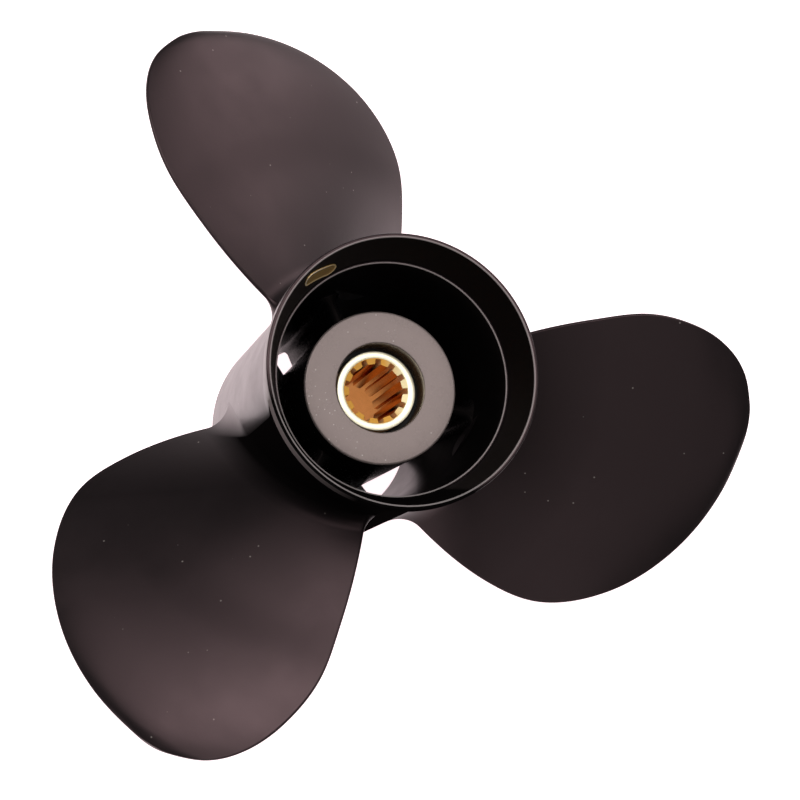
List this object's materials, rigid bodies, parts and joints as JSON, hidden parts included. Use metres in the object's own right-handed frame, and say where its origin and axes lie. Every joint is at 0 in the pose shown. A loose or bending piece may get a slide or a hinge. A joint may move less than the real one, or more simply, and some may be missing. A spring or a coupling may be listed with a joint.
{
  "type": "outboard motor propeller",
  "caption": "Right-hand outboard propeller with swept aluminium blades, exhaust through an open hub and a splined brass sleeve in a rubber bush.",
  "frame": {"origin": "on the shaft line, in the plane of the barrel's front end, where the part stands", "axes": "+Z along the shaft line pointing astern, out of the open mouth; +Y towards blade 1"},
  "size_m": [0.2596, 0.2468, 0.126],
  "materials": {
    "painted_casting": "semi-matt black paint with a faint brown tone",
    "rubber": "matt",
    "brass": "machined, bright",
    "foil": "gold-toned foil, satin"
  },
  "bodies": {
    "root": {"barrel": "painted_casting", "inner_hub": "painted_casting", "web_1": "painted_casting", "web_2": "painted_casting", "web_3": "painted_casting", "blade_1": "painted_casting", "blade_2": "painted_casting", "blade_3": "painted_casting", "rubber_bush": "rubber", "splined_sleeve": "brass", "foil_tag": "foil"}
  },
  "joints": []
}
